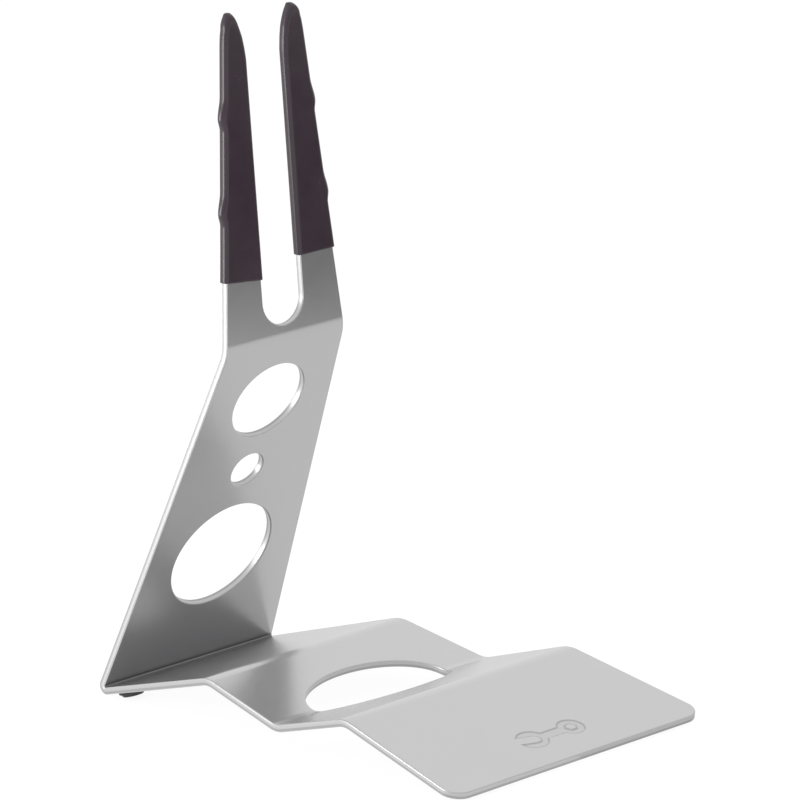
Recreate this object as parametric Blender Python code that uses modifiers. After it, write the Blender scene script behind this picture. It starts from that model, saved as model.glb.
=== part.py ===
"""Bike repair stand: one bent sheet-metal plate with two coated prongs and four rubber feet.

Metres, +Z up. X is the width, with the stand symmetric about X = 0. The front edge of the base points to -Y
and the upright stands at +Y. The feet stand on Z = 0, and Y = 0 is midway between front edge and heel.
"""

from math import atan2, cos, hypot, pi, radians, sin, tan

import bmesh
import bpy
from mathutils import Vector

MM = 0.001

# Sheet and its bends. The visible face is the top of the base and the front of the upright.
SHEET = 4.0 * MM
EDGE_ROUND = 0.8 * MM

# Where the corner of the heel's visible face lies, behind the middle of the stand and above the floor.
HEEL_BEHIND_MIDDLE = 150.04 * MM
HEEL_ABOVE_FLOOR = 5.38 * MM

# Corners of the visible face as (y, z) from the heel's own corner, before the bends round them.
FRONT = (-303.8 * MM, 0.0 * MM)
RIDGE_1 = (-215.9 * MM, 22.9 * MM)
VALLEY = (-156.1 * MM, 8.5 * MM)
RIDGE_2 = (-97.7 * MM, 22.9 * MM)
HEEL = (0.0 * MM, 0.0 * MM)
KNEE = (-104.5 * MM, 185.7 * MM)
PRONG_LEAN = radians(1.4)
PRONG_LENGTH = 173.0 * MM
TIP = (KNEE[0] - PRONG_LENGTH * sin(PRONG_LEAN), KNEE[1] + PRONG_LENGTH * cos(PRONG_LEAN))
PATH = [FRONT, RIDGE_1, VALLEY, RIDGE_2, HEEL, KNEE, TIP]

# Bend radius on the visible face at each inner corner of PATH, and the strips that make up each bend.
BEND_RADII = [22.0 * MM, 18.0 * MM, 22.0 * MM, 0.5 * MM, 22.0 * MM]
BEND_STRIPS = [7, 7, 7, 10, 8]

# Flat blank: half widths at the front edge and at the knee, with straight sides between them.
FRONT_HALF_WIDTH = 85.0 * MM
KNEE_HALF_WIDTH = 39.6 * MM
FRONT_CORNER = 10.0 * MM

# Holes on the centre line. The upright's are round, placed by distance up from the heel.
UPRIGHT_HOLES = [(73.4 * MM, 32.3 * MM, 56), (129.6 * MM, 10.1 * MM, 32), (175.3 * MM, 22.8 * MM, 48)]
BASE_HOLE_HALF_WIDTH = 43.7 * MM
BASE_HOLE_HALF_LENGTH = 28.0 * MM
BASE_HOLE_OFFSET = 2.0 * MM
BASE_HOLE_POINTS = 64

# Fork above the knee, by distance up from the knee. The prongs' edges are in millimetres, as (x, distance).
SLOT_BOTTOM = 9.2 * MM
SLOT_HALF_WIDTH = 13.3 * MM
PRONG_OUTER = [(25.2, 158.0), (24.5, 163.0), (23.8, 165.7), (22.6, 168.0), (21.2, 169.6), (20.1, 170.2)]
PRONG_INNER = [(19.1, 169.8), (17.8, 168.0), (16.5, 165.0), (15.2, 161.0), (14.2, 155.5), (13.5, 149.0)]

# Dipped sleeves: the clearance to the metal, the thickness over it, and where their lips start up the prong,
# on its inner and outer side.
GAP = 0.3 * MM
COAT = 1.15 * MM
SLEEVE_ROUND = 2.3 * MM
# How far the lip's edge rises, and how far it lies inside the outer skin, in millimetres.
SLEEVE_LIP = [(0.0, 0.5), (0.15, 0.15), (0.5, 0.0)]
LEFT_SLEEVE_START = (35.0 * MM, 37.6 * MM)
RIGHT_SLEEVE_START = (42.6 * MM, 42.6 * MM)
SLANT_FADE = 18.0 * MM
# The two grip ridges on the outer edge: crests, height, extra rounding, and reach above and below each crest.
RIDGES = [72.8 * MM, 121.0 * MM]
RIDGE_HEIGHT = 1.8 * MM
RIDGE_ROUND = 0.8 * MM
RIDGE_ABOVE = 11.0 * MM
RIDGE_BELOW = 6.5 * MM
SLEEVE_LEVELS = [45, 55, 62, 66.3, 68, 70, 71.4, 72.8, 74.3, 76, 78, 80.5, 83.8, 95, 107, 114.5, 116.5]
SLEEVE_LEVELS += [118.5, 119.8, 121, 122.5, 124.5, 126.5, 129, 132, 141, 149, 154, 158, 161, 163.5, 165.6]
SOCKET_LEVELS = [60, 105, 149, 155.5, 161, 163, 165.4, 168]
# The socket's blind end, in millimetres: distance up, inner and outer x, and how far it draws in.
SOCKET_END = [(170.0, 18.3, 21.7, 0.0), (170.6, 19.2, 20.8, 0.3)]
# The chiselled tip, in millimetres: distance up, inner and outer x, and how far its front and back draw in.
SLEEVE_TIP = [
    (167.3, 16.3, 24.8, 0.0, 0.0),
    (168.9, 17.1, 24.1, 0.1, 0.0),
    (170.1, 17.8, 23.4, 0.4, 0.05),
    (170.9, 18.2, 22.9, 1.1, 0.15),
    (171.5, 18.6, 22.4, 2.1, 0.35),
    (171.85, 19.0, 21.9, 2.9, 0.7),
    (172.0, 19.5, 21.3, 3.5, 1.2),
]
TIP_TOP = 172.0
LEFT_TIP_LIFT = 1.5
RIGHT_TIP_LIFT = 0.0

# Rubber feet, glued under the heel ramp and under the front plate.
FOOT_TOP_RADIUS = 7.4 * MM
FOOT_BOTTOM_RADIUS = 5.6 * MM
FOOT_HEIGHT = 3.2 * MM
FOOT_TOP_ROUND = 0.4 * MM
# The rounded rim below, in millimetres: radius beyond the bottom's, and height above the domed tip.
FOOT_RIM = [(0.35, 1.3), (-0.05, 0.75), (-0.7, 0.35)]
FOOT_DOME_RISE = 0.08 * MM
FOOT_SIDES = 32
REAR_FOOT_X = 49.0 * MM
REAR_FOOT_INSET = 11.9 * MM
FRONT_FOOT_X = 62.0 * MM
FRONT_FOOT_INSET = 11.0 * MM

# Steps round a quarter turn: of a corner of the blank, of half the slot's end, of a corner of a sleeve.
CORNER_STEPS = 7
SLOT_STEPS = 8
SLEEVE_STEPS = 4


def clear_scene():
    for obj in list(bpy.data.objects):
        bpy.data.objects.remove(obj, do_unlink=True)


def material(name, color, metallic, roughness):
    made = bpy.data.materials.new(name)
    made.use_nodes = True
    shader = made.node_tree.nodes["Principled BSDF"]
    shader.inputs["Base Color"].default_value = (*color, 1.0)
    shader.inputs["Metallic"].default_value = metallic
    shader.inputs["Roughness"].default_value = roughness
    made.diffuse_color = (*color, 1.0)
    return made


class BentPath:
    """The visible face's section: straight runs joined by arcs, measured from the front edge."""

    def __init__(self, corners, radii, strips):
        self.pieces = []
        self.starts = []
        self.lines = []
        length = 0.0
        here = Vector(corners[0])
        tangent = 0.0
        for i in range(len(corners) - 1):
            a, b = Vector(corners[i]), Vector(corners[i + 1])
            run = (b - a).normalized()
            self.starts.append(length - tangent)
            if i < len(radii):
                after = (Vector(corners[i + 2]) - b).normalized()
                turn = atan2(run.x * after.y - run.y * after.x, run.dot(after))
                next_tangent = radii[i] * tan(abs(turn) / 2)
            else:
                turn, next_tangent = 0.0, 0.0
            straight = (b - run * next_tangent - here).length
            self.pieces.append((length, straight, here, run, 0.0, 0.0))
            length += straight
            here = b - run * next_tangent
            if turn:
                arc = radii[i] * abs(turn)
                self.pieces.append((length, arc, here, run, turn, radii[i]))
                self.lines += [length + arc * k / strips[i] for k in range(strips[i] + 1)]
                length += arc
                here = b + after * next_tangent
            tangent = next_tangent
        self.length = length

    def station(self, run, distance):
        """How far along the path a point is, given its distance past the corner where that run starts."""
        return self.starts[run] + distance

    def point(self, x, s, depth):
        """Where a point of the flat blank goes: across, along the path, and below the visible face."""
        for start, size, here, run, turn, radius in self.pieces:
            if s <= start + size:
                break
        along = s - start
        if turn:
            angle = along / radius * (1 if turn > 0 else -1)
            normal = Vector((-run.y, run.x))
            centre = here + normal * (radius if turn > 0 else -radius)
            c, k = cos(angle), sin(angle)
            normal = Vector((normal.x * c - normal.y * k, normal.x * k + normal.y * c))
            flat = centre + normal * (-radius if turn > 0 else radius)
        else:
            normal = Vector((-run.y, run.x))
            flat = here + run * along
        flat = flat - normal * depth
        return Vector((x, flat.x, flat.y))


def arc(centre, radius, start, end, steps):
    """Points round part of a circle, both ends included, with the angles in degrees."""
    made = []
    for k in range(steps + 1):
        angle = radians(start + (end - start) * k / steps)
        made.append((centre[0] + radius * cos(angle), centre[1] + radius * sin(angle)))
    return made


def ellipse(centre, half_x, half_y, count):
    """Points round an ellipse, clockwise, as every hole runs."""
    return [
        (centre[0] + half_x * cos(-2 * pi * k / count), centre[1] + half_y * sin(-2 * pi * k / count))
        for k in range(count)
    ]


def corner_arc(corner, before, after, radius, steps):
    """Rounds one corner of an outline with an arc that touches both of its sides."""
    corner = Vector(corner)
    u = (Vector(before) - corner).normalized()
    v = (Vector(after) - corner).normalized()
    half = u.angle(v) / 2
    centre = corner + (u + v).normalized() * (radius / sin(half))
    first = corner + u * (radius / tan(half)) - centre
    last = corner + v * (radius / tan(half)) - centre
    a0 = atan2(first.y, first.x)
    sweep = (atan2(last.y, last.x) - a0 + pi) % (2 * pi) - pi
    return [
        (centre.x + radius * cos(a0 + sweep * k / steps), centre.y + radius * sin(a0 + sweep * k / steps))
        for k in range(steps + 1)
    ]


def blank_outline(path):
    """Outline of the flat blank as (x, s), counter-clockwise from the front right corner."""
    knee = path.station(5, 0.0)
    corner, opposite = (FRONT_HALF_WIDTH, 0.0), (-FRONT_HALF_WIDTH, 0.0)
    right = corner_arc(corner, opposite, (KNEE_HALF_WIDTH, knee), FRONT_CORNER, CORNER_STEPS)
    right.append((KNEE_HALF_WIDTH, knee))
    right += [(x * MM, knee + v * MM) for x, v in PRONG_OUTER]
    right += [(x * MM, knee + v * MM) for x, v in PRONG_INNER]
    slot = arc((0.0, knee + SLOT_BOTTOM + SLOT_HALF_WIDTH), SLOT_HALF_WIDTH, 0.0, -90.0, SLOT_STEPS)
    right += slot[:-1]
    left = [(-x, s) for x, s in reversed(right)]
    return right + [slot[-1]] + left


def add_object(name, mesh, shade, parent):
    obj = bpy.data.objects.new(name, mesh)
    obj.data.materials.append(shade)
    obj.parent = parent
    parent.users_collection[0].objects.link(obj)
    return obj


def add_weighted_normals(obj):
    normals = obj.modifiers.new("Face weighted normals", "WEIGHTED_NORMAL")
    normals.keep_sharp = True
    normals.weight = 100


def filled_outlines(name, loops):
    """Flat mesh inside the first outline and outside the others, from a filled 2D curve."""
    curve = bpy.data.curves.new(name, "CURVE")
    curve.dimensions = "2D"
    curve.fill_mode = "BOTH"
    for loop in loops:
        spline = curve.splines.new("POLY")
        spline.points.add(len(loop) - 1)
        for point, (x, y) in zip(spline.points, loop):
            point.co = (x, y, 0.0, 1.0)
        spline.use_cyclic_u = True
    obj = bpy.data.objects.new(name, curve)
    bpy.context.scene.collection.objects.link(obj)
    graph = bpy.context.evaluated_depsgraph_get()
    mesh = bpy.data.meshes.new_from_object(obj.evaluated_get(graph))
    bpy.data.objects.remove(obj)
    bpy.data.curves.remove(curve)
    return mesh


def build_plate(path, shade, parent):
    """The blank is cut along every bend line, bent, thickened behind its visible face, and rounded."""
    loops = [blank_outline(path)]
    for up, radius, count in UPRIGHT_HOLES:
        loops.append(ellipse((0.0, path.station(4, up)), radius, radius, count))
    valley = path.station(2, 0.0) + BASE_HOLE_OFFSET
    loops.append(ellipse((0.0, valley), BASE_HOLE_HALF_WIDTH, BASE_HOLE_HALF_LENGTH, BASE_HOLE_POINTS))
    mesh = filled_outlines("bent_plate", loops)

    bm = bmesh.new()
    bm.from_mesh(mesh)
    bmesh.ops.remove_doubles(bm, verts=bm.verts, dist=0.001 * MM)
    bmesh.ops.dissolve_limit(bm, angle_limit=radians(0.1), verts=[], edges=bm.edges)
    for line in path.lines:
        bmesh.ops.bisect_plane(
            bm,
            geom=bm.verts[:] + bm.edges[:] + bm.faces[:],
            dist=0.01 * MM,
            plane_co=(0.0, line, 0.0),
            plane_no=(0.0, 1.0, 0.0),
        )
    bm.faces.ensure_lookup_table()
    if bm.faces[0].normal.z < 0:
        bmesh.ops.reverse_faces(bm, faces=bm.faces)
    for vert in bm.verts:
        vert.co = path.point(vert.co.x, vert.co.y, 0.0)
    bm.to_mesh(mesh)
    bm.free()
    mesh.shade_smooth()

    plate = add_object("bent_plate", mesh, shade, parent)
    thickness = plate.modifiers.new("Sheet thickness", "SOLIDIFY")
    thickness.thickness = SHEET
    thickness.offset = -1.0
    thickness.use_even_offset = True
    thickness.use_quality_normals = True
    rounding = plate.modifiers.new("Deburred edges", "BEVEL")
    rounding.width = EDGE_ROUND
    rounding.segments = 2
    rounding.limit_method = "ANGLE"
    rounding.angle_limit = radians(60)
    rounding.use_clamp_overlap = False
    rounding.loop_slide = False
    add_weighted_normals(plate)


def outline_at(points, v):
    """Linear reading of an edge given as (x, v) points in rising v."""
    for (xa, va), (xb, vb) in zip(points, points[1:]):
        if v <= vb:
            return xa + (xb - xa) * max(0.0, v - va) / (vb - va)
    return points[-1][0]


def ridge_shape(v):
    """0 away from the grip ridges, rising to 1 on their crests."""
    most = 0.0
    for crest in RIDGES:
        reach = min(1.0, abs(v - crest) / (RIDGE_ABOVE if v > crest else RIDGE_BELOW))
        most = max(most, 0.5 + 0.5 * cos(pi * reach))
    return most


def section(inner, outer, front, back, radius):
    """Rounded rectangle as (x, depth) points, between two x limits and two depths."""
    radius = min(radius, 0.48 * (outer - inner), 0.48 * (back - front))
    corners = [
        ((outer - radius, back - radius), 0.0),
        ((inner + radius, back - radius), 90.0),
        ((inner + radius, front + radius), 180.0),
        ((outer - radius, front + radius), 270.0),
    ]
    points = []
    for centre, start in corners:
        points += arc(centre, radius, start, start + 90.0, SLEEVE_STEPS)
    return points


def sleeve_skins(start, tip_lift):
    """Rings of a right-hand sleeve as (x, distance, depth): the outside from its lip up, and its socket."""
    outer_edge = [(KNEE_HALF_WIDTH, 0.0)] + [(x * MM, v * MM) for x, v in PRONG_OUTER]
    inner_edge = [(SLOT_HALF_WIDTH, 0.0)] + [(x * MM, v * MM) for x, v in reversed(PRONG_INNER)]
    at_inner, at_outer = start
    middle = (at_inner + at_outer) / 2
    centre = (outline_at(inner_edge, middle) + outline_at(outer_edge, middle)) / 2
    slope = (at_outer - at_inner) / (outline_at(outer_edge, middle) - outline_at(inner_edge, middle))

    def ring(v, grow, radius, lift=0.0):
        inner = outline_at(inner_edge, v) - grow
        outer = outline_at(outer_edge, v) + grow + lift
        points = section(inner, outer, -grow, SHEET + grow, radius)
        slant = slope * max(0.0, 1.0 - (v - middle) / SLANT_FADE)
        return [(x, v + slant * (x - centre), depth) for x, depth in points]

    outside = []
    for rise, back in SLEEVE_LIP:
        outside.append(ring(middle + rise * MM, COAT - back * MM, SLEEVE_ROUND - back * MM))
    for level in SLEEVE_LEVELS:
        ridge = ridge_shape(level * MM)
        outside.append(ring(level * MM, COAT, SLEEVE_ROUND + ridge * RIDGE_ROUND, ridge * RIDGE_HEIGHT))
    for level, inner, outer, front_drawn, back_drawn in SLEEVE_TIP:
        front, back = front_drawn * MM - COAT, SHEET + COAT - back_drawn * MM
        points = section(inner * MM, outer * MM, front, back, SLEEVE_ROUND)
        raised = level + tip_lift * (level - SLEEVE_LEVELS[-1]) / (TIP_TOP - SLEEVE_LEVELS[-1])
        outside.append([(x, raised * MM, depth) for x, depth in points])
    socket = [ring(middle, GAP, EDGE_ROUND)]
    socket += [ring(level * MM, GAP, EDGE_ROUND) for level in SOCKET_LEVELS]
    for level, inner, outer, drawn in SOCKET_END:
        points = section(inner * MM, outer * MM, drawn * MM, SHEET - drawn * MM, EDGE_ROUND)
        socket.append([(x, level * MM, depth) for x, depth in points])
    return outside, socket


def build_sleeve(name, side, start, tip_lift, shade, parent):
    """A loft through the sleeve's sections. Its Z runs up the prong from the knee, its Y into the sheet."""
    bm = bmesh.new()
    outside, socket = sleeve_skins(start, tip_lift)
    rings = []
    for points in list(reversed(outside)) + socket:
        rings.append([bm.verts.new((side * x, depth, v)) for x, v, depth in points])
    count = len(rings[0])
    for lower, upper in zip(rings, rings[1:]):
        for i in range(count):
            j = (i + 1) % count
            bm.faces.new((lower[i], lower[j], upper[j], upper[i]))
    bm.faces.new(rings[0])
    bm.faces.new(rings[-1])
    bmesh.ops.recalc_face_normals(bm, faces=bm.faces[:])
    mesh = bpy.data.meshes.new(name)
    bm.to_mesh(mesh)
    bm.free()
    mesh.shade_smooth()
    sleeve = add_object(name, mesh, shade, parent)
    sleeve.location = (0.0, *KNEE)
    sleeve.rotation_euler = (PRONG_LEAN, 0.0, 0.0)
    add_weighted_normals(sleeve)


def foot_profile():
    """Outline of a bumper's half as (radius, height), from the middle of its top down to its domed tip."""
    top = [
        (0.0, 0.0),
        (FOOT_TOP_RADIUS - FOOT_TOP_ROUND, 0.0),
        (FOOT_TOP_RADIUS, -FOOT_TOP_ROUND),
        (FOOT_TOP_RADIUS - 0.1 * MM, -1.0 * MM),
    ]
    rim = [(FOOT_BOTTOM_RADIUS + beyond * MM, above * MM - FOOT_HEIGHT) for beyond, above in FOOT_RIM]
    dome = [(FOOT_BOTTOM_RADIUS / 2, FOOT_DOME_RISE - FOOT_HEIGHT), (0.0, -FOOT_HEIGHT)]
    return top + rim + dome


def build_foot(name, x, run, distance, path, shade, parent):
    """Tapered bumper under the sheet, turned about its own Z, which is the sheet's normal."""
    profile = foot_profile()
    mesh = bpy.data.meshes.new(name)
    edges = [(i, i + 1) for i in range(len(profile) - 1)]
    mesh.from_pydata([(radius, 0.0, z) for radius, z in profile], edges, [])
    foot = add_object(name, mesh, shade, parent)
    foot.location = path.point(x, path.station(run, distance), SHEET + GAP)
    before, after = PATH[run], PATH[run + 1]
    foot.rotation_euler = (atan2(after[1] - before[1], after[0] - before[0]), 0.0, 0.0)
    turned = foot.modifiers.new("Turned profile", "SCREW")
    turned.steps = FOOT_SIDES
    turned.render_steps = FOOT_SIDES
    turned.use_merge_vertices = True
    turned.merge_threshold = 0.01 * MM
    turned.use_smooth_shade = True


def main():
    clear_scene()
    scene = bpy.context.scene
    scene.unit_settings.system = "METRIC"
    scene.unit_settings.scale_length = 1.0
    collection = bpy.data.collections.new("bike_repair_stand")
    scene.collection.children.link(collection)
    heel = bpy.data.objects.new("heel_corner", None)
    heel.location = (0.0, HEEL_BEHIND_MIDDLE, HEEL_ABOVE_FLOOR)
    collection.objects.link(heel)
    path = BentPath(PATH, BEND_RADII, BEND_STRIPS)

    metal = material("satin_aluminium", (0.66, 0.66, 0.67), 1.0, 0.32)
    build_plate(path, metal, heel)

    for name, side, start, tip_lift in (
        ("prong_sleeve_left", -1, LEFT_SLEEVE_START, LEFT_TIP_LIFT),
        ("prong_sleeve_right", 1, RIGHT_SLEEVE_START, RIGHT_TIP_LIFT),
    ):
        coating = material(name + "_coating", (0.035, 0.03, 0.034), 0.0, 0.45)
        build_sleeve(name, side, start, tip_lift, coating, heel)

    rear_distance = hypot(RIDGE_2[0] - HEEL[0], RIDGE_2[1] - HEEL[1]) - REAR_FOOT_INSET
    for label, side in (("left", -1), ("right", 1)):
        for place, x, run, distance in (
            ("rear", REAR_FOOT_X, 3, rear_distance),
            ("front", FRONT_FOOT_X, 0, FRONT_FOOT_INSET),
        ):
            name = f"{place}_foot_{label}"
            rubber = material(name + "_rubber", (0.03, 0.03, 0.032), 0.0, 0.6)
            build_foot(name, side * x, run, distance, path, rubber, heel)


main()
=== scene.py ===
"""Looks of the bike repair stand: a fine bent plate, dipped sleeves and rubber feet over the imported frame.

Metres, +Z up, in the frame's own axes. X is the width, the base's front edge points to -Y, and the feet stand
on Z = 0.
"""

from math import asin, atan2, cos, degrees, hypot, pi, radians, sin, tan

import bmesh
import bpy
from mathutils import Matrix, Vector

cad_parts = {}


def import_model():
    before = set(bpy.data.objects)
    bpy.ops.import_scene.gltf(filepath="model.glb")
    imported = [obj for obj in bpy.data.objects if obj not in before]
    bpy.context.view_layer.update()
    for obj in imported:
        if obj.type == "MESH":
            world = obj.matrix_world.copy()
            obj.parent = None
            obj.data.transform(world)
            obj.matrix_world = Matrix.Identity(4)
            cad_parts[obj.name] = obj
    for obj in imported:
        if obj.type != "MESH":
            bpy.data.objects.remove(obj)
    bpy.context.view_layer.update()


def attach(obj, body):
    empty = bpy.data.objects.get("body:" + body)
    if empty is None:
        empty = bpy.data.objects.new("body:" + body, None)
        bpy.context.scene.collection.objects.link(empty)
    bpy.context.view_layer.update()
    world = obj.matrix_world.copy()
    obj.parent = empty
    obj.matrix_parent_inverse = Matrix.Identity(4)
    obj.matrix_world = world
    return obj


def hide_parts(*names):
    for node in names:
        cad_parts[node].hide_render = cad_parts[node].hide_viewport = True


MM = 0.001

# The sheet, in millimetres, as in the CAD model: its thickness, its rounded edges, the depths where its cut
# wall stops being clean and is torn, and where the corner of the heel's visible face lies, as (y, z).
SHEET = 4.0
EDGE_ROUND = 0.8
EDGE_STEPS = 5
CLEAN_DEPTH = 0.52 * SHEET
TORN_DEPTH = 0.60 * SHEET
HEEL_PLACE = Vector((150.04, 5.38))
# How far the texture of the sheet's back is moved from that of its front, in metres.
BACK_SHIFT = 0.2

# The visible face's section, in millimetres, as (y, z) from the heel's corner, with the radii and strips of
# the bends at its inner corners, and how far the cuts beside the heel's bend lie from it. The painted shade in
# the heel's crease fades out over those cuts.
PATH = [(-303.8, 0.0), (-215.9, 22.9), (-156.1, 8.5), (-97.7, 22.9), (0.0, 0.0), (-104.5, 185.7)]
PRONG_LEAN = radians(1.4)
PRONG_LENGTH = 173.0
RIDGE_1, VALLEY, RIDGE_2, HEEL, KNEE = range(1, 6)
BEND_RADII = [22.0, 18.0, 22.0, 0.5, 22.0]
BEND_STRIPS = [18, 18, 18, 26, 20]
CREASE_REACH = 1.6

# The flat blank, in millimetres. The upright's holes are (distance up from the heel, radius, points). The
# base's hole is (half width, half length, distance past the valley, points). The prong's edges are (x, distance).
FRONT_HALF_WIDTH = 85.0
KNEE_HALF_WIDTH = 39.6
FRONT_CORNER = 10.0
CORNER_STEPS = 24
UPRIGHT_HOLES = [(73.4, 32.3, 160), (129.6, 10.1, 72), (175.3, 22.8, 128)]
BASE_HOLE = (43.7, 28.0, 2.0, 180)
SLOT_BOTTOM = 9.2
SLOT_HALF_WIDTH = 13.3
SLOT_STEPS = 28
PRONG_OUTER = [(25.2, 158.0), (24.5, 163.0), (23.8, 165.7), (22.6, 168.0), (21.2, 169.6), (20.1, 170.2)]
PRONG_INNER = [(19.1, 169.8), (17.8, 168.0), (16.5, 165.0), (15.2, 161.0), (14.2, 155.5), (13.5, 149.0)]

# Sleeves, in millimetres: clearance to the metal, thickness over it, lip as (rise, distance inside the skin),
# and where the lips start up the prong, on its inner and outer side.
GAP = 0.3
COAT = 1.15
SLEEVE_ROUND = 2.3
SLEEVE_STEPS = 8
SLEEVE_RINGS = 110
SLEEVE_LIP = [(0.0, 0.5), (0.03, 0.31), (0.09, 0.17), (0.19, 0.08), (0.32, 0.02), (0.5, 0.0)]
LIP_TO_BODY = 1.5
LEFT_SLEEVE_START = (35.0, 37.6)
RIGHT_SLEEVE_START = (42.6, 42.6)
SLANT_FADE = 18.0
# The socket's levels, and its blind end as (distance up, inner and outer x, how far it draws in).
SOCKET_ROUND = 0.8
SOCKET_LEVELS = [60, 105, 149, 155.5, 161, 163, 165.4, 168]
SOCKET_END = [(170.0, 18.3, 21.7, 0.0), (170.6, 19.2, 20.8, 0.3)]
# The two grip ridges on the outer edge: crests, height, extra rounding, and reach above and below each crest.
RIDGES = [72.8, 121.0]
RIDGE_HEIGHT = 1.8
RIDGE_ROUND = 0.8
RIDGE_ABOVE = 11.0
RIDGE_BELOW = 6.5
# The chiselled tip: distance up, inner and outer x, and how far its front and back draw in.
SLEEVE_TIP = [
    (167.3, 16.3, 24.8, 0.0, 0.0),
    (168.9, 17.1, 24.1, 0.1, 0.0),
    (170.1, 17.8, 23.4, 0.4, 0.05),
    (170.9, 18.2, 22.9, 1.1, 0.15),
    (171.5, 18.6, 22.4, 2.1, 0.35),
    (171.85, 19.0, 21.9, 2.9, 0.7),
    (172.0, 19.5, 21.3, 3.5, 1.2),
]
TIP_START, TIP_TOP = 165.0, 172.0
LEFT_TIP_LIFT = 1.5
RIGHT_TIP_LIFT = 0.0

# Rubber feet, in millimetres: a rounded top, a rim as (radius beyond the bottom's, height above the tip), a
# shallow dome, and each pair's distance from the middle and inset from the heel or the front edge.
FOOT_TOP_RADIUS = 7.4
FOOT_BOTTOM_RADIUS = 5.6
FOOT_HEIGHT = 3.2
FOOT_TOP_ROUND = 0.4
FOOT_RIM = [(0.35, 1.3), (-0.05, 0.75), (-0.7, 0.35)]
FOOT_DOME_RISE = 0.08
FOOT_SIDES = 72
REAR_FOOT = (49.0, 11.9)
FRONT_FOOT = (62.0, 11.0)

# Edges harder than this stay sharp on sleeves and feet.
SHARP_ANGLE = radians(50)

# The mark pressed into the front plate, in millimetres: a wrench with its middle, its two ends' distance from
# there, and the sizes of its ends, handle, jaw and nut. Its groove has rows of (depth, inset, the normal's
# sideways and upward parts, cut edge, torn zone), and painted shade that darkens each row.
MARK_CENTRE = Vector((2.0, 24.0))
MARK_REACH = 13.0
MARK_OPEN_END, MARK_RING_END, MARK_HANDLE, MARK_JAW = 8.2, 7.0, 3.0, 3.7
MARK_JAW_DEPTH = 1.2
MARK_TILT = 15
MARK_NUT, MARK_NUT_ROUND = 3.6, 0.5
GROOVE = [
    (0.0, 0.8, 0.0, 1.0, 0.0, 0.0),
    (0.07, 0.42, 0.4, 0.92, 0.0, 0.0),
    (0.38, -0.2, 0.4, 0.92, 0.0, 0.0),
    (0.45, -0.6, 0.0, 1.0, 0.0, 0.0),
]
GROOVE_PAINTED_SHADE = (0.0, 0.5, 0.6, 0.08)

# Colours: the metal's two shades, its bare cut edge and that edge's torn part, the painted shade darkening the
# heel's crease and the mark's groove, the coating, and the rubber.
METAL = (0.528, 0.527, 0.533, 1.0), (0.552, 0.549, 0.553, 1.0)
BARE_CUT, BARE_TORN = 0.50, 0.36
PAINTED_SHADE = 0.04
COATING = (0.031, 0.019, 0.028, 1.0), (0.038, 0.024, 0.034, 1.0)
RUBBER = (0.022, 0.022, 0.023, 1.0), (0.05, 0.048, 0.046, 1.0)

# Surroundings: a sky that brightens along an axis, a glowing floor, and a light low on the left, behind.
SKY_AXIS = (0.0, 0.6, 0.8)
SKY_FROM, SKY_TO = -0.2, 0.75
SKY_DARK, SKY_LIGHT = 0.74, 1.06
FLOOR_GLOW = 0.92
FLOOR_SIZE = 15.0
KEY_PLACE, KEY_TARGET = (-1.45, 0.85, 0.35), (0.0, 0.0, 0.2)
KEY_SIZE = (0.8, 0.7)
KEY_POWER = 12.0

# Cards on the floor to the right: middle, turn about Z in degrees, size, the strength along most of the card,
# the strength at its near end, and the share of its length between the two.
GREY_CARD = (0.75, -0.4, 0.002), 0.0, (1.5, 1.8), 0.84, 0.84, 1.0
DARK_CARD = (0.838, -0.928, 0.004), -49.4, (1.5, 1.1), 0.0, 0.84, 0.25

# The camera: angles and roll in degrees, its place in metres, and its lens.
CAMERA_AZIMUTH = 40.5787
CAMERA_ELEVATION = 13.0683
CAMERA_ROLL = 4.8546
CAMERA_LENS = 267.2
CAMERA_PLACE = (-1.8799, -2.2343, 0.8414)


class BentPath:
    """The visible face's section: straight runs joined by arcs, in millimetres from the front edge."""

    def __init__(self, corners, radii, strips):
        self.pieces = []
        self.starts = []
        self.lines = []
        self.bends = []
        length = 0.0
        here = Vector(corners[0])
        tangent = 0.0
        for i in range(len(corners) - 1):
            a, b = Vector(corners[i]), Vector(corners[i + 1])
            run = (b - a).normalized()
            self.starts.append(length - tangent)
            if i < len(radii):
                after = (Vector(corners[i + 2]) - b).normalized()
                turn = atan2(run.x * after.y - run.y * after.x, run.dot(after))
                next_tangent = radii[i] * tan(abs(turn) / 2)
            else:
                turn, next_tangent = 0.0, 0.0
            straight = (b - run * next_tangent - here).length
            self.pieces.append((length, straight, here, run, 0.0, 0.0))
            length += straight
            here = b - run * next_tangent
            if turn:
                size = radii[i] * abs(turn)
                self.bends.append((length, length + size))
                self.pieces.append((length, size, here, run, turn, radii[i]))
                self.lines += [length + size * k / strips[i] for k in range(strips[i] + 1)]
                length += size
                here = b + after * next_tangent
            tangent = next_tangent

    def station(self, run, distance):
        """How far along the path a point is, given its distance past the corner where that run starts."""
        return self.starts[run] + distance

    def frame(self, s):
        """(point, tangent, normal) of the visible face at this distance, in its (y, z) plane."""
        for start, size, here, run, turn, radius in self.pieces:
            if s <= start + size:
                break
        normal = Vector((-run.y, run.x))
        along = s - start
        if not turn:
            return here + run * along, run, normal
        sign = 1 if turn > 0 else -1
        angle = along / radius * sign
        centre = here + normal * (radius * sign)
        turned = Matrix.Rotation(angle, 2)
        normal, run = turned @ normal, turned @ run
        return centre - normal * (radius * sign), run, normal

    def place(self, x, s, depth):
        """World position of a flat point: across, along the path, and below the visible face."""
        point, _, normal = self.frame(s)
        point = HEEL_PLACE + point - normal * depth
        return Vector((x, point.x, point.y)) * MM

    def turn(self, direction, s):
        """World direction of one that is (across, along, above) in the flat blank at this distance."""
        _, run, normal = self.frame(s)
        flat = run * direction[1] + normal * direction[2]
        return Vector((direction[0], flat.x, flat.y)).normalized()


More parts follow.
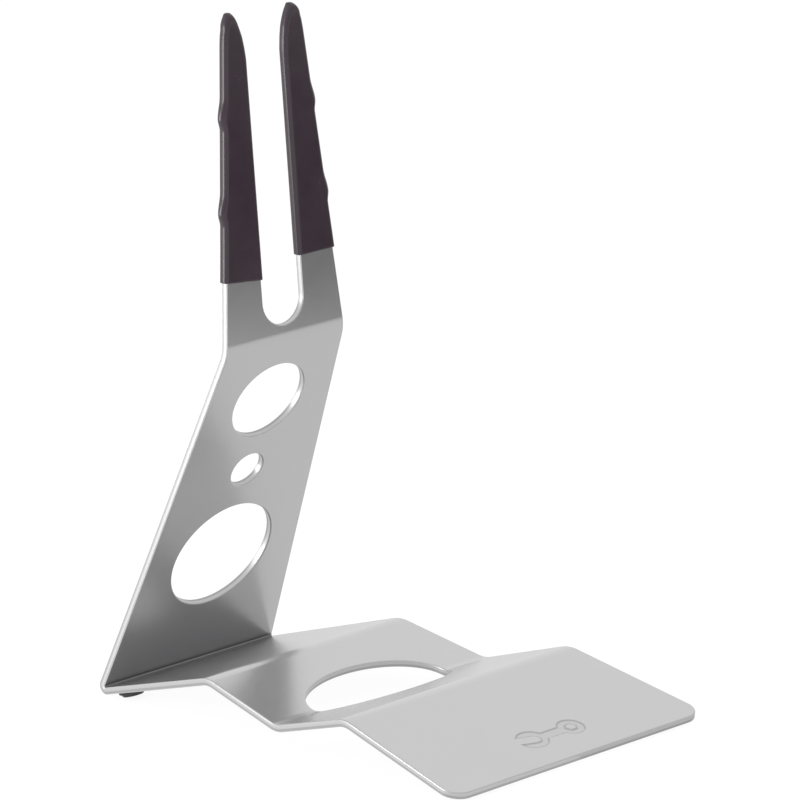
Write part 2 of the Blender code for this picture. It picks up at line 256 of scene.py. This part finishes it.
def arc(centre, radius, start, end, steps):
    """Points round part of a circle, both ends included, with the angles in degrees."""
    made = []
    for k in range(steps + 1):
        angle = radians(start + (end - start) * k / steps)
        made.append((centre[0] + radius * cos(angle), centre[1] + radius * sin(angle)))
    return made


def ellipse(centre, half_x, half_y, count):
    """Points round an ellipse, clockwise, as every hole runs."""
    return [
        (centre[0] + half_x * cos(-2 * pi * k / count), centre[1] + half_y * sin(-2 * pi * k / count))
        for k in range(count)
    ]


def corner_arc(corner, before, after, radius, steps):
    """Rounds one corner of an outline with an arc that touches both of its sides."""
    corner = Vector(corner)
    u = (Vector(before) - corner).normalized()
    v = (Vector(after) - corner).normalized()
    half = u.angle(v) / 2
    centre = corner + (u + v).normalized() * (radius / sin(half))
    first = corner + u * (radius / tan(half)) - centre
    last = corner + v * (radius / tan(half)) - centre
    start = atan2(first.y, first.x)
    sweep = (atan2(last.y, last.x) - start + pi) % (2 * pi) - pi
    return arc(centre, radius, degrees(start), degrees(start + sweep), steps)


def smooth_curve(points, steps):
    """Catmull-Rom curve through these points."""
    made = []
    last = len(points) - 1
    for i in range(last):
        p0, p1, p2, p3 = (Vector(points[min(max(j, 0), last)]) for j in (i - 1, i, i + 1, i + 2))
        for k in range(steps):
            t = k / steps
            made.append(
                tuple(
                    0.5
                    * (
                        2 * p1
                        + (p2 - p0) * t
                        + (2 * p0 - 5 * p1 + 4 * p2 - p3) * t * t
                        + (3 * p1 - p0 - 3 * p2 + p3) * t**3
                    )
                )
            )
    made.append(points[-1])
    return made


def blank_outline(path):
    """Outline of the flat blank as (x, s), counter-clockwise from the front right corner."""
    knee = path.station(KNEE, 0.0)
    corner, opposite = (FRONT_HALF_WIDTH, 0.0), (-FRONT_HALF_WIDTH, 0.0)
    right = corner_arc(corner, opposite, (KNEE_HALF_WIDTH, knee), FRONT_CORNER, CORNER_STEPS)
    right.append((KNEE_HALF_WIDTH, knee))
    right += [(x, knee + v) for x, v in smooth_curve(PRONG_OUTER + PRONG_INNER, 2)]
    slot = arc((0.0, knee + SLOT_BOTTOM + SLOT_HALF_WIDTH), SLOT_HALF_WIDTH, 0.0, -90.0, SLOT_STEPS)
    right += slot[:-1]
    left = [(-x, s) for x, s in reversed(right)]
    return right + [slot[-1]] + left


def outward(loop):
    """For each point of an outline, the direction away from the sheet, and a mitred offset's length."""
    made = []
    count = len(loop)
    for i in range(count):
        p, q, r = Vector(loop[i - 1]), Vector(loop[i]), Vector(loop[(i + 1) % count])
        a, b = (q - p).normalized(), (r - q).normalized()
        side = (Vector((a.y, -a.x)) + Vector((b.y, -b.x))).normalized()
        made.append((side, 1 / max(0.5, side.dot(Vector((a.y, -a.x))))))
    return made


def wrench_mark():
    """A plain wrench pictogram, as two outlines: the recess, and the nut left standing in its ring end."""
    open_end = MARK_CENTRE - Vector((MARK_REACH, 0.0))
    ring_end = MARK_CENTRE + Vector((MARK_REACH, 0.0))
    at_ring = half_angle(MARK_HANDLE, MARK_RING_END)
    at_open = half_angle(MARK_HANDLE, MARK_OPEN_END)
    at_jaw = half_angle(MARK_JAW, MARK_OPEN_END)
    points = arc(ring_end, MARK_RING_END, -180 + at_ring, 180 - at_ring, 40)
    points += arc(open_end, MARK_OPEN_END, at_open, 180 - at_jaw - MARK_TILT, 22)
    tilt = Matrix.Rotation(radians(-MARK_TILT), 2)
    jaw = arc((MARK_JAW_DEPTH, 0.0), MARK_JAW, 90, -90, 16)
    points += [tuple(open_end + tilt @ Vector(point)) for point in jaw]
    points += arc(open_end, MARK_OPEN_END, 180 + at_jaw - MARK_TILT, 360 - at_open, 22)
    nut = arc(ring_end, MARK_NUT, 0, 300, 5)
    return points, rounded_polygon(nut, MARK_NUT_ROUND, 4)


def half_angle(half_width, radius):
    """Degrees from the middle of a chord of a circle to its end, given half of the chord's length."""
    return degrees(asin(half_width / radius))


def rounded_polygon(points, radius, steps):
    """The polygon's outline with an arc at each corner."""
    made = []
    for i, corner in enumerate(points):
        made += corner_arc(corner, points[i - 1], points[(i + 1) % len(points)], radius, steps)
    return made


class SheetBuilder:
    """Builds the flat sheet with rounded edges, then bends it. Each vertex keeps its normal, its wear and how
    much painted shade it gets.
    """

    def __init__(self):
        self.bm = bmesh.new()
        self.normal = self.bm.verts.layers.float_vector.new("flat_normal")
        self.edge = self.bm.verts.layers.float.new("cut_edge")
        self.torn = self.bm.verts.layers.float.new("torn_zone")
        # How much painted shade darkens each vertex: the heel's crease and the rows of the mark's groove.
        self.painted_shade = self.bm.verts.layers.float.new("painted_shade")

    def rings(self, loop, profile, painted_shade_rows=()):
        """One ring of vertices per row of the profile, which is laid out as GROOVE is, and their faces."""
        sides = outward(loop)
        made = []
        for level, (depth, inset, sideways, up, edge, torn) in enumerate(profile):
            ring = []
            for (x, y), (side, mitre) in zip(loop, sides):
                offset = side * (-inset * mitre)
                vert = self.bm.verts.new((x + offset.x, y + offset.y, -depth))
                vert[self.normal] = Vector((side.x * sideways, side.y * sideways, up)).normalized()
                vert[self.edge] = edge
                vert[self.torn] = torn
                # Painted shade for this row of the mark's groove; none on other rings.
                vert[self.painted_shade] = painted_shade_rows[level] if painted_shade_rows else 0.0
                ring.append(vert)
            made.append(ring)
        for upper, lower in zip(made, made[1:]):
            for i in range(len(upper)):
                j = (i + 1) % len(upper)
                self.bm.faces.new((upper[i], lower[i], lower[j], upper[j]))
        return made

    def fill(self, rings):
        """Fills the flat area between these rings."""
        edges = []
        for ring in rings:
            edges += [self.bm.edges.get((ring[i - 1], ring[i])) for i in range(len(ring))]
        bmesh.ops.triangle_fill(self.bm, use_beauty=True, use_dissolve=False, edges=edges)

    def bend(self, path):
        """Cuts the sheet along every bend line, lays out its texture, paints shade into the heel's crease and
        bends it, with its normals.
        """
        bm = self.bm
        heel_start, heel_end = path.bends[HEEL - 1]
        for line in path.lines + [heel_start - CREASE_REACH, heel_end + CREASE_REACH]:
            bmesh.ops.bisect_plane(
                bm,
                geom=bm.verts[:] + bm.edges[:] + bm.faces[:],
                dist=0.004,
                plane_co=(0.0, line, 0.0),
                plane_no=(0.0, 1.0, 0.0),
            )
        bmesh.ops.triangulate(bm, faces=[face for face in bm.faces if len(face.verts) > 4])
        bmesh.ops.recalc_face_normals(bm, faces=bm.faces[:])
        flat = bm.loops.layers.uv.new("flat")
        for face in bm.faces:
            for loop in face.loops:
                x, s, z = loop.vert.co
                loop[flat].uv = (x * MM + (0.0 if z > -SHEET / 2 else BACK_SHIFT), s * MM)
        normals = []
        for vert in bm.verts:
            x, s, z = vert.co
            # The visible face of the heel's bend gets full painted shade, which fades out towards the cuts beside
            # it.
            in_heel = heel_start - 0.01 < s < heel_end + 0.01
            if in_heel and z > -0.1:
                vert[self.painted_shade] = 1.0
            normals.append(path.turn(vert[self.normal], s))
            vert.co = path.place(x, s, -z)
        return normals


def edge_profile():
    """Rounded edge with a cut wall, clean over its front half and torn over its back half."""
    top, bottom = [], []
    for k in range(EDGE_STEPS + 1):
        share = k / EDGE_STEPS
        side, up = sin(pi / 2 * share), cos(pi / 2 * share)
        depth, inset = EDGE_ROUND * (1 - up), EDGE_ROUND * (1 - side)
        top.append((depth, inset, side, up, share, 0.0))
        bottom.insert(0, (SHEET - depth, inset, side, -up, share, 1.0))
    wall = [(CLEAN_DEPTH, 0.0, 1.0, 0.0, 1.0, 0.0), (TORN_DEPTH, 0.0, 1.0, 0.0, 1.0, 1.0)]
    return top + wall + bottom


def build_plate(path):
    """The blank with its holes and its pressed mark, bent along the path."""
    builder = SheetBuilder()
    loops = [blank_outline(path)]
    for up, radius, count in UPRIGHT_HOLES:
        loops.append(ellipse((0.0, path.station(HEEL, up)), radius, radius, count))
    half_width, half_length, offset, count = BASE_HOLE
    loops.append(ellipse((0.0, path.station(VALLEY, offset)), half_width, half_length, count))
    around = [builder.rings(loop, edge_profile()) for loop in loops]
    recess, nut = wrench_mark()
    recess_rings = builder.rings(list(reversed(recess)), GROOVE, GROOVE_PAINTED_SHADE)
    nut_rings = builder.rings(nut, GROOVE, GROOVE_PAINTED_SHADE)
    builder.fill([rings[0] for rings in around] + [recess_rings[0]])
    builder.fill([rings[-1] for rings in around])
    builder.fill([recess_rings[-1], nut_rings[-1]])
    builder.fill([nut_rings[0]])
    normals = builder.bend(path)
    return mesh_object("plate_surface", builder.bm, normals)


def mesh_object(name, bm, normals=None):
    """A smooth object in the scene from this mesh, with its own normals if they are given."""
    mesh = bpy.data.meshes.new(name)
    bm.to_mesh(mesh)
    bm.free()
    mesh.shade_smooth()
    if normals is not None:
        mesh.normals_split_custom_set_from_vertices([tuple(n) for n in normals])
    obj = bpy.data.objects.new(name, mesh)
    bpy.context.scene.collection.objects.link(obj)
    return obj


def outline_at(points, v):
    """Linear reading of an edge given as (x, v) points in rising v."""
    for (xa, va), (xb, vb) in zip(points, points[1:]):
        if v <= vb:
            return xa + (xb - xa) * max(0.0, v - va) / (vb - va)
    return points[-1][0]


def ridge_shape(v):
    """0 away from the grip ridges, rising to 1 on their crests."""
    most = 0.0
    for crest in RIDGES:
        reach = min(1.0, abs(v - crest) / (RIDGE_ABOVE if v > crest else RIDGE_BELOW))
        most = max(most, 0.5 + 0.5 * cos(pi * reach))
    return most


def section(inner, outer, front, back, radii):
    """Rounded rectangle as (x, depth) points, with the radii of its inner and its outer corners."""
    most = 0.49 * min(outer - inner, back - front)
    near, far = (min(radius, most) for radius in radii)
    corners = [
        (outer - far, back - far, far, 0.0),
        (inner + near, back - near, near, 90.0),
        (inner + near, front + near, near, 180.0),
        (outer - far, front + far, far, 270.0),
    ]
    points = []
    for x, depth, radius, start in corners:
        points += arc((x, depth), radius, start, start + 90.0, SLEEVE_STEPS)
    return points


def sleeve_skins(start, tip_lift):
    """Rings of a right-hand sleeve as (x, distance, depth): the outside from its lip up, and its socket."""
    outer_edge = [(KNEE_HALF_WIDTH, 0.0)] + PRONG_OUTER
    inner_edge = [(SLOT_HALF_WIDTH, 0.0)] + list(reversed(PRONG_INNER))
    at_inner, at_outer = start
    middle = (at_inner + at_outer) / 2
    centre = (outline_at(inner_edge, middle) + outline_at(outer_edge, middle)) / 2
    slope = (at_outer - at_inner) / (outline_at(outer_edge, middle) - outline_at(inner_edge, middle))

    def ring(v, grow, radius, ridge=0.0):
        inner = outline_at(inner_edge, v) - grow
        outer = outline_at(outer_edge, v) + grow + ridge * RIDGE_HEIGHT
        points = section(inner, outer, -grow, SHEET + grow, (radius, radius + ridge * RIDGE_ROUND))
        slant = slope * max(0.0, 1.0 - (v - middle) / SLANT_FADE)
        return [(x, v + slant * (x - centre), depth) for x, depth in points]

    outside = [ring(middle + rise, COAT - back, SLEEVE_ROUND - back) for rise, back in SLEEVE_LIP]
    body = middle + LIP_TO_BODY
    for k in range(SLEEVE_RINGS + 1):
        level = body + k * (TIP_START - body) / SLEEVE_RINGS
        outside.append(ring(level, COAT, SLEEVE_ROUND, ridge_shape(level)))
    for level, inner, outer, front_drawn, back_drawn in smooth_curve(SLEEVE_TIP, 4):
        front, back = max(0.0, front_drawn) - COAT, SHEET + COAT - max(0.0, back_drawn)
        points = section(inner, outer, front, back, (SLEEVE_ROUND, SLEEVE_ROUND))
        raised = level + tip_lift * (level - TIP_START) / (TIP_TOP - TIP_START)
        outside.append([(x, raised, depth) for x, depth in points])
    socket = [ring(middle, GAP, SOCKET_ROUND)]
    socket += [ring(level, GAP, SOCKET_ROUND) for level in SOCKET_LEVELS]
    for v, inner, outer, drawn in SOCKET_END:
        points = section(inner, outer, drawn, SHEET - drawn, (SOCKET_ROUND, SOCKET_ROUND))
        socket.append([(x, v, depth) for x, depth in points])
    return outside, socket


def smooth_body(name, bm):
    """Object from a closed mesh, smooth but for its sharp edges."""
    bmesh.ops.recalc_face_normals(bm, faces=bm.faces[:])
    for edge in bm.edges:
        edge.smooth = edge.calc_face_angle() <= SHARP_ANGLE
    return mesh_object(name, bm)


def build_sleeve(name, side, start, tip_lift, path):
    """A loft through the sleeve's sections, down its outside and up its socket."""
    bm = bmesh.new()
    outside, socket = sleeve_skins(start, tip_lift)
    knee = path.station(KNEE, 0.0)
    rings = []
    for points in list(reversed(outside)) + socket:
        rings.append([bm.verts.new(path.place(side * x, knee + v, depth)) for x, v, depth in points])
    count = len(rings[0])
    for lower, upper in zip(rings, rings[1:]):
        for i in range(count):
            j = (i + 1) % count
            bm.faces.new((lower[i], lower[j], upper[j], upper[i]))
    bm.faces.new(rings[0])
    bm.faces.new(rings[-1])
    return smooth_body(name, bm)


def foot_profile():
    """Outline of a bumper's half as (radius, depth), from its top's rim down to its domed tip."""
    top = arc((FOOT_TOP_RADIUS - FOOT_TOP_ROUND, FOOT_TOP_ROUND), FOOT_TOP_ROUND, -90, 0, 6)
    rim = [(FOOT_BOTTOM_RADIUS + beyond, FOOT_HEIGHT - above) for beyond, above in FOOT_RIM]
    rim.append((FOOT_BOTTOM_RADIUS / 2, FOOT_HEIGHT - FOOT_DOME_RISE))
    return top + [(FOOT_TOP_RADIUS - 0.1, 1.0)] + smooth_curve(rim, 5)


def build_foot(name, across, run, distance, path):
    """Rubber bumper, turned about the sheet's normal."""
    s = path.station(run, distance)
    base = path.place(across, s, SHEET + GAP)
    down = (path.place(across, s, SHEET + GAP + 1) - base).normalized()
    along = Vector((0.0, down.z, -down.y))
    bm = bmesh.new()
    rings = []
    for radius, depth in foot_profile():
        ring = []
        for k in range(FOOT_SIDES):
            angle = 2 * pi * k / FOOT_SIDES
            offset = Vector((cos(angle) * radius, 0.0, 0.0)) + along * (sin(angle) * radius)
            ring.append(bm.verts.new(base + (down * depth + offset) * MM))
        rings.append(ring)
    for upper, lower in zip(rings, rings[1:]):
        for i in range(FOOT_SIDES):
            j = (i + 1) % FOOT_SIDES
            bm.faces.new((upper[i], lower[i], lower[j], upper[j]))
    bm.faces.new(rings[0])
    tip = bm.verts.new(base + down * (FOOT_HEIGHT * MM))
    for i in range(FOOT_SIDES):
        bm.faces.new((rings[-1][i], tip, rings[-1][(i + 1) % FOOT_SIDES]))
    return smooth_body(name, bm)


class Nodes:
    """Short way to write a material's node tree."""

    def __init__(self, name):
        self.material = bpy.data.materials.new(name)
        self.material.use_nodes = True
        self.tree = self.material.node_tree
        self.shader = self.tree.nodes["Principled BSDF"]

    def add(self, kind, inputs=None, **settings):
        node = self.tree.nodes.new(kind)
        for key, value in settings.items():
            setattr(node, key, value)
        for key, value in (inputs or {}).items():
            self.put(node, key, value)
        return node

    def put(self, node, key, value):
        if isinstance(value, bpy.types.NodeSocket):
            self.tree.links.new(value, node.inputs[key])
        else:
            node.inputs[key].default_value = value

    def set(self, **values):
        names = {"color": "Base Color", "rough": "Roughness", "metal": "Metallic", "normal": "Normal"}
        for key, value in values.items():
            self.put(self.shader, names.get(key, key), value)

    def math(self, operation, a, b=0.0, clamp=False):
        node = self.add("ShaderNodeMath", {0: a, 1: b}, operation=operation)
        node.use_clamp = clamp
        return node.outputs[0]

    def ramp(self, value, low, high, to_low=0.0, to_high=1.0):
        made = self.add(
            "ShaderNodeMapRange",
            {"Value": value, "From Min": low, "From Max": high, "To Min": to_low, "To Max": to_high},
        )
        return made.outputs["Result"]

    def mix(self, share, a, b):
        node = self.add("ShaderNodeMix", data_type="RGBA")
        for key, value in ((0, share), (6, a), (7, b)):
            self.put(node, key, value)
        return node.outputs[2]

    def noise(self, vector, scale, detail=2.0, rough=0.5):
        made = self.add(
            "ShaderNodeTexNoise", {"Vector": vector, "Scale": scale, "Detail": detail, "Roughness": rough}
        )
        return made.outputs["Fac"]

    def stretched(self, vector, scale):
        return self.add("ShaderNodeMapping", {"Vector": vector, "Scale": scale}).outputs["Vector"]


def grey(value):
    return (value, value, value, 1.0)


def metal_material():
    """Satin metal with a fine grain along the blank, faint clouding, painted shade in the heel's crease and the
    mark's groove, and rougher cut edges.
    """
    n = Nodes("satin_metal")
    flat = n.add("ShaderNodeUVMap", uv_map="flat").outputs["UV"]
    space = n.add("ShaderNodeTexCoord").outputs["Object"]
    edge = n.add("ShaderNodeAttribute", attribute_name="cut_edge").outputs["Fac"]
    torn = n.add("ShaderNodeAttribute", attribute_name="torn_zone").outputs["Fac"]
    cut = n.ramp(edge, 0.6, 0.95)
    grain = n.noise(n.stretched(flat, (60.0, 4200.0, 1.0)), 1.0, 3.0, 0.6)
    clouds = n.noise(space, 14.0, 3.0, 0.55)
    shade = n.mix(clouds, *METAL)
    bare = n.mix(torn, grey(BARE_CUT), grey(BARE_TORN))
    # Painted shade: the heel's crease and the mark's groove are darkened towards a near-black grey.
    painted_shade = n.add("ShaderNodeAttribute", attribute_name="painted_shade").outputs["Fac"]
    shade = n.mix(n.math("MULTIPLY", painted_shade, 0.5), shade, grey(PAINTED_SHADE))
    n.set(color=n.mix(cut, shade, bare), metal=0.9)
    clouding = n.ramp(clouds, 0.35, 0.65, -0.015, 0.02)
    face_rough = n.math("ADD", n.ramp(grain, 0.35, 0.65, 0.19, 0.24), clouding)
    n.set(rough=n.add("ShaderNodeMix", {0: cut, 2: face_rough, 3: 0.42}, data_type="FLOAT").outputs[0])
    bump = n.add("ShaderNodeBump", {"Strength": 0.015, "Distance": 0.00003, "Height": grain})
    n.set(normal=bump.outputs["Normal"])
    return n.material


def sleeve_material():
    """Soft dip coating: nearly black with a warm cast, orange-peel surface and faint rubbed patches."""
    n = Nodes("sleeve_coating")
    space = n.add("ShaderNodeTexCoord").outputs["Object"]
    clouds = n.noise(space, 60.0, 4.0, 0.6)
    peel = n.noise(space, 700.0, 2.0, 0.5)
    fine = n.noise(space, 4200.0, 2.0, 0.5)
    n.set(color=n.mix(clouds, *COATING), metal=0.0)
    n.set(rough=n.ramp(clouds, 0.3, 0.7, 0.22, 0.28))
    height = n.math("ADD", n.math("MULTIPLY", peel, 0.8), n.math("MULTIPLY", fine, 0.2))
    bump = n.add("ShaderNodeBump", {"Strength": 0.12, "Distance": 0.0001, "Height": height})
    n.set(normal=bump.outputs["Normal"])
    return n.material


def foot_material():
    """Matte black rubber with a fine moulded texture and dusty lighter patches."""
    n = Nodes("foot_rubber")
    space = n.add("ShaderNodeTexCoord").outputs["Object"]
    dust = n.noise(space, 240.0, 5.0, 0.65)
    fine = n.noise(space, 3600.0, 3.0, 0.6)
    n.set(color=n.mix(n.ramp(dust, 0.45, 0.8), *RUBBER))
    n.set(rough=n.ramp(fine, 0.3, 0.7, 0.62, 0.78), metal=0.0)
    bump = n.add("ShaderNodeBump", {"Strength": 0.25, "Distance": 0.00008, "Height": fine})
    n.set(normal=bump.outputs["Normal"])
    return n.material


def floor_material():
    """A pale floor that glows a little, so that it stays white under the soft light."""
    n = Nodes("pale_floor")
    space = n.add("ShaderNodeTexCoord").outputs["Object"]
    n.set(color=n.mix(n.noise(space, 3.0), grey(0.12), grey(0.13)), rough=0.9)
    n.put(n.shader, "Specular IOR Level", 0.0)
    n.put(n.shader, "Emission Color", grey(1.0))
    n.put(n.shader, "Emission Strength", FLOOR_GLOW)
    return n.material


def build_floor():
    bm = bmesh.new()
    bmesh.ops.create_grid(bm, x_segments=1, y_segments=1, size=FLOOR_SIZE)
    floor = mesh_object("floor", bm)
    floor.data.materials.append(floor_material())


def build_key_light():
    light = bpy.data.lights.new("key", "AREA")
    light.shape = "RECTANGLE"
    light.size, light.size_y = KEY_SIZE
    light.energy = KEY_POWER
    obj = bpy.data.objects.new("key", light)
    bpy.context.scene.collection.objects.link(obj)
    obj.location = KEY_PLACE
    obj.rotation_euler = (Vector(KEY_TARGET) - Vector(KEY_PLACE)).to_track_quat("-Z", "Y").to_euler()
    obj.visible_camera = False


def build_card(name, place, turn, size, strength, near_strength, fade):
    """A sheet lying by the object, seen only in reflections, that fades in along its own X."""
    bm = bmesh.new()
    bmesh.ops.create_grid(bm, x_segments=1, y_segments=1, size=0.5)
    obj = mesh_object(name, bm)
    obj.scale = (*size, 1.0)
    obj.location = place
    obj.rotation_euler.z = radians(turn)
    n = Nodes(name)
    n.set(color=grey(0.0), rough=1.0)
    n.put(n.shader, "Specular IOR Level", 0.0)
    n.put(n.shader, "Emission Color", grey(1.0))
    along = n.add("ShaderNodeSeparateXYZ", {0: n.add("ShaderNodeTexCoord").outputs["Object"]}).outputs["X"]
    n.put(n.shader, "Emission Strength", n.ramp(along, -0.5, fade - 0.5, near_strength, strength))
    obj.data.materials.append(n.material)
    obj.visible_camera = False
    obj.visible_diffuse = False
    obj.visible_shadow = False
    obj.visible_transmission = False


def build_world():
    """Soft white surroundings, brightest above and behind the stand and dimmer low in front of it."""
    world = bpy.data.worlds.new("studio")
    world.use_nodes = True
    tree = world.node_tree
    background = tree.nodes["Background"]
    background.inputs["Color"].default_value = grey(1.0)
    place = tree.nodes.new("ShaderNodeTexCoord")
    height = tree.nodes.new("ShaderNodeVectorMath")
    height.operation = "DOT_PRODUCT"
    height.inputs[1].default_value = SKY_AXIS
    level = tree.nodes.new("ShaderNodeMapRange")
    level.inputs["From Min"].default_value = SKY_FROM
    level.inputs["From Max"].default_value = SKY_TO
    level.inputs["To Min"].default_value = SKY_DARK
    level.inputs["To Max"].default_value = SKY_LIGHT
    tree.links.new(place.outputs["Generated"], height.inputs[0])
    tree.links.new(height.outputs["Value"], level.inputs["Value"])
    tree.links.new(level.outputs["Result"], background.inputs["Strength"])
    bpy.context.scene.world = world


def build_camera():
    """The camera turns about the view axis by its roll, after its azimuth and elevation."""
    a, e, r = (radians(v) for v in (CAMERA_AZIMUTH, CAMERA_ELEVATION, CAMERA_ROLL))
    ahead = Vector((sin(a) * cos(e), cos(a) * cos(e), -sin(e)))
    right = ahead.cross(Vector((0.0, 0.0, 1.0))).normalized()
    down = ahead.cross(right)
    right, down = right * cos(r) + down * sin(r), down * cos(r) - right * sin(r)
    camera = bpy.data.objects.new("camera", bpy.data.cameras.new("camera"))
    turn = Matrix((right, -down, -ahead)).transposed()
    camera.matrix_world = Matrix.Translation(CAMERA_PLACE) @ turn.to_4x4()
    camera.data.lens = CAMERA_LENS
    camera.data.sensor_width = 36.0
    bpy.context.scene.collection.objects.link(camera)
    bpy.context.scene.camera = camera


def main():
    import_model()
    path = BentPath(PATH + [prong_tip()], BEND_RADII, BEND_STRIPS)

    plate = build_plate(path)
    plate.data.materials.append(metal_material())
    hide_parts("bent_plate")

    coating = sleeve_material()
    sleeves = []
    for name, side, start, tip_lift, node in (
        ("sleeve_left", -1, LEFT_SLEEVE_START, LEFT_TIP_LIFT, "prong_sleeve_left"),
        ("sleeve_right", 1, RIGHT_SLEEVE_START, RIGHT_TIP_LIFT, "prong_sleeve_right"),
    ):
        sleeve = build_sleeve(name, side, start, tip_lift, path)
        sleeve.data.materials.append(coating)
        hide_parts(node)
        sleeves.append(sleeve)

    rubber = foot_material()
    rear, front = REAR_FOOT, FRONT_FOOT
    heel_ramp = hypot(*PATH[RIDGE_2])
    feet = []
    for side, label in ((-1, "left"), (1, "right")):
        for place, across, run, distance in (
            ("rear", rear[0], RIDGE_2, heel_ramp - rear[1]),
            ("front", front[0], 0, front[1]),
        ):
            foot = build_foot(f"rubber_foot_{place}_{label}", side * across, run, distance, path)
            foot.data.materials.append(rubber)
            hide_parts(f"{place}_foot_{label}")
            feet.append(foot)
    for piece in [plate] + sleeves + feet:
        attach(piece, "root")

    build_floor()
    build_world()
    build_key_light()
    build_card("grey_card", *GREY_CARD)
    build_card("dark_card", *DARK_CARD)
    build_camera()
    bpy.context.scene.view_settings.view_transform = "Standard"


def prong_tip():
    """The middle of the fork's far end, as (y, z) from the heel's corner."""
    y, z = PATH[KNEE]
    return (y - PRONG_LENGTH * sin(PRONG_LEAN), z + PRONG_LENGTH * cos(PRONG_LEAN))


main()
